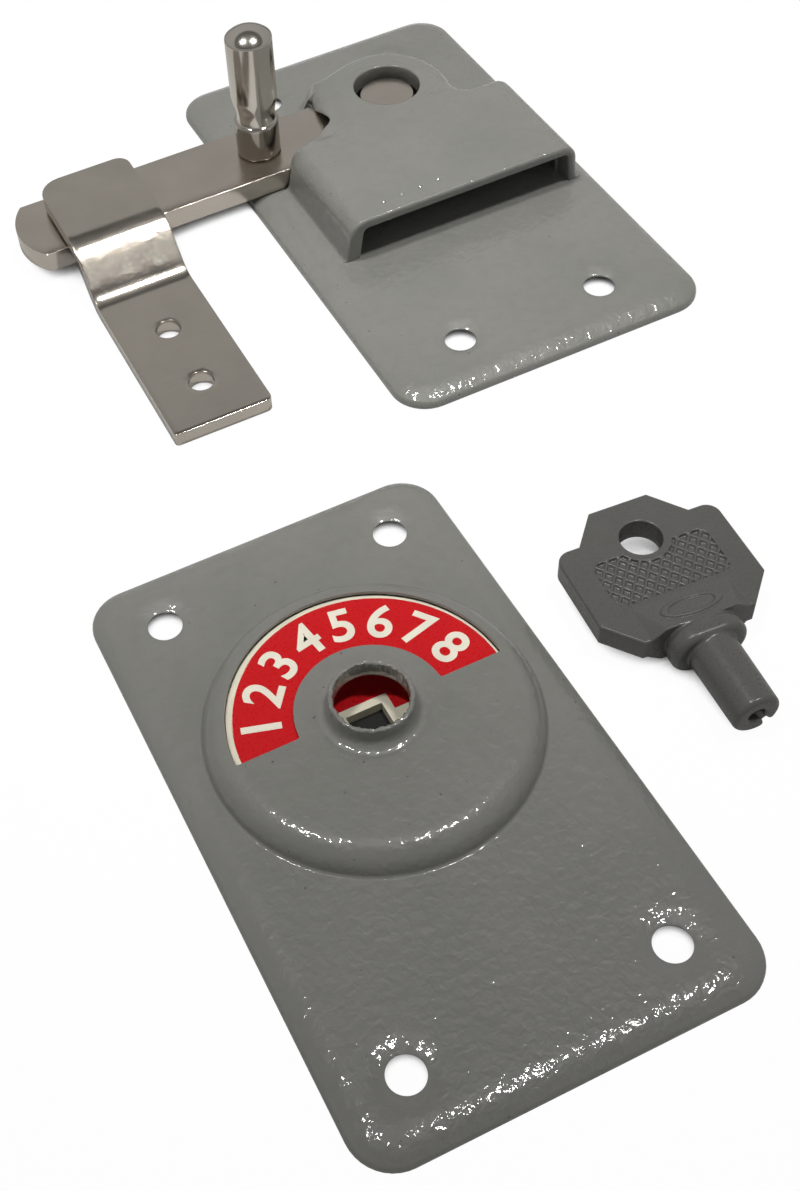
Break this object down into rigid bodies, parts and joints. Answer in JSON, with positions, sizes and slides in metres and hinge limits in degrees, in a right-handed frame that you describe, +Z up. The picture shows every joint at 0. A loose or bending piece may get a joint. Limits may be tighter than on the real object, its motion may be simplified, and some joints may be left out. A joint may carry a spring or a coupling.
{
  "type": "toilet indicator bolt",
  "caption": "Sliding cubicle bolt with an outer indicator plate, an inner casing plate, a bent keeper and a release key, set out on a table.",
  "frame": {"origin": "centre of the outer plate's four screw holes, on the table that the set stands on", "axes": "+X across the plates, +Y along the plates away from the key's shank, +Z up off the table"},
  "size_m": [0.1254, 0.2162, 0.0331],
  "materials": {
    "enamel": "grey stoved enamel, faintly dimpled, semi gloss",
    "nickel": "nickel plate over steel, satin on the flats and bright on the bends",
    "disc_moulding": "cream moulding",
    "engaged_print": "red print",
    "free_print": "green print",
    "key_plastic": "dark grey moulded plastic"
  },
  "bodies": {
    "plates": {"outer_plate": "enamel", "disc_washer": "nickel", "disc_strap": "nickel", "strap_rivets": "nickel", "inner_plate": "enamel", "bolt_casing": "enamel", "casing_rivets": "nickel", "follower_washer": "nickel", "keeper": "nickel", "emergency_key": "key_plastic"},
    "bolt": {"bolt_bar": "nickel", "bolt_knob": "nickel", "drive_rack": "nickel", "rack_rivets": "nickel"},
    "follower_shaft": {"follower": "nickel", "follower_clip": "nickel"},
    "indicator": {"indicator_disc": "disc_moulding", "engaged_label": "engaged_print", "free_label": "free_print"}
  },
  "joints": [
    {"name": "bolt_slide", "type": "slide", "parent": "plates", "child": "bolt", "axis": [-1, 0, 0], "range_m": [0, 0.01696]},
    {"name": "follower_turn", "type": "hinge", "parent": "plates", "child": "follower_shaft", "pos_m": [0.06925, 0.1365, 0.002], "axis": [0, 0, 1], "range_deg": [-180, 0]},
    {"name": "indicator_turn", "type": "hinge", "parent": "plates", "child": "indicator", "pos_m": [0.0005, 0.0085, 0.002], "axis": [0, 0, 1], "range_deg": [0, 180]}
  ],
  "couplings": [
    {"joint": "follower_turn", "follows": "bolt_slide", "rad_per_m": -185.19}
  ]
}
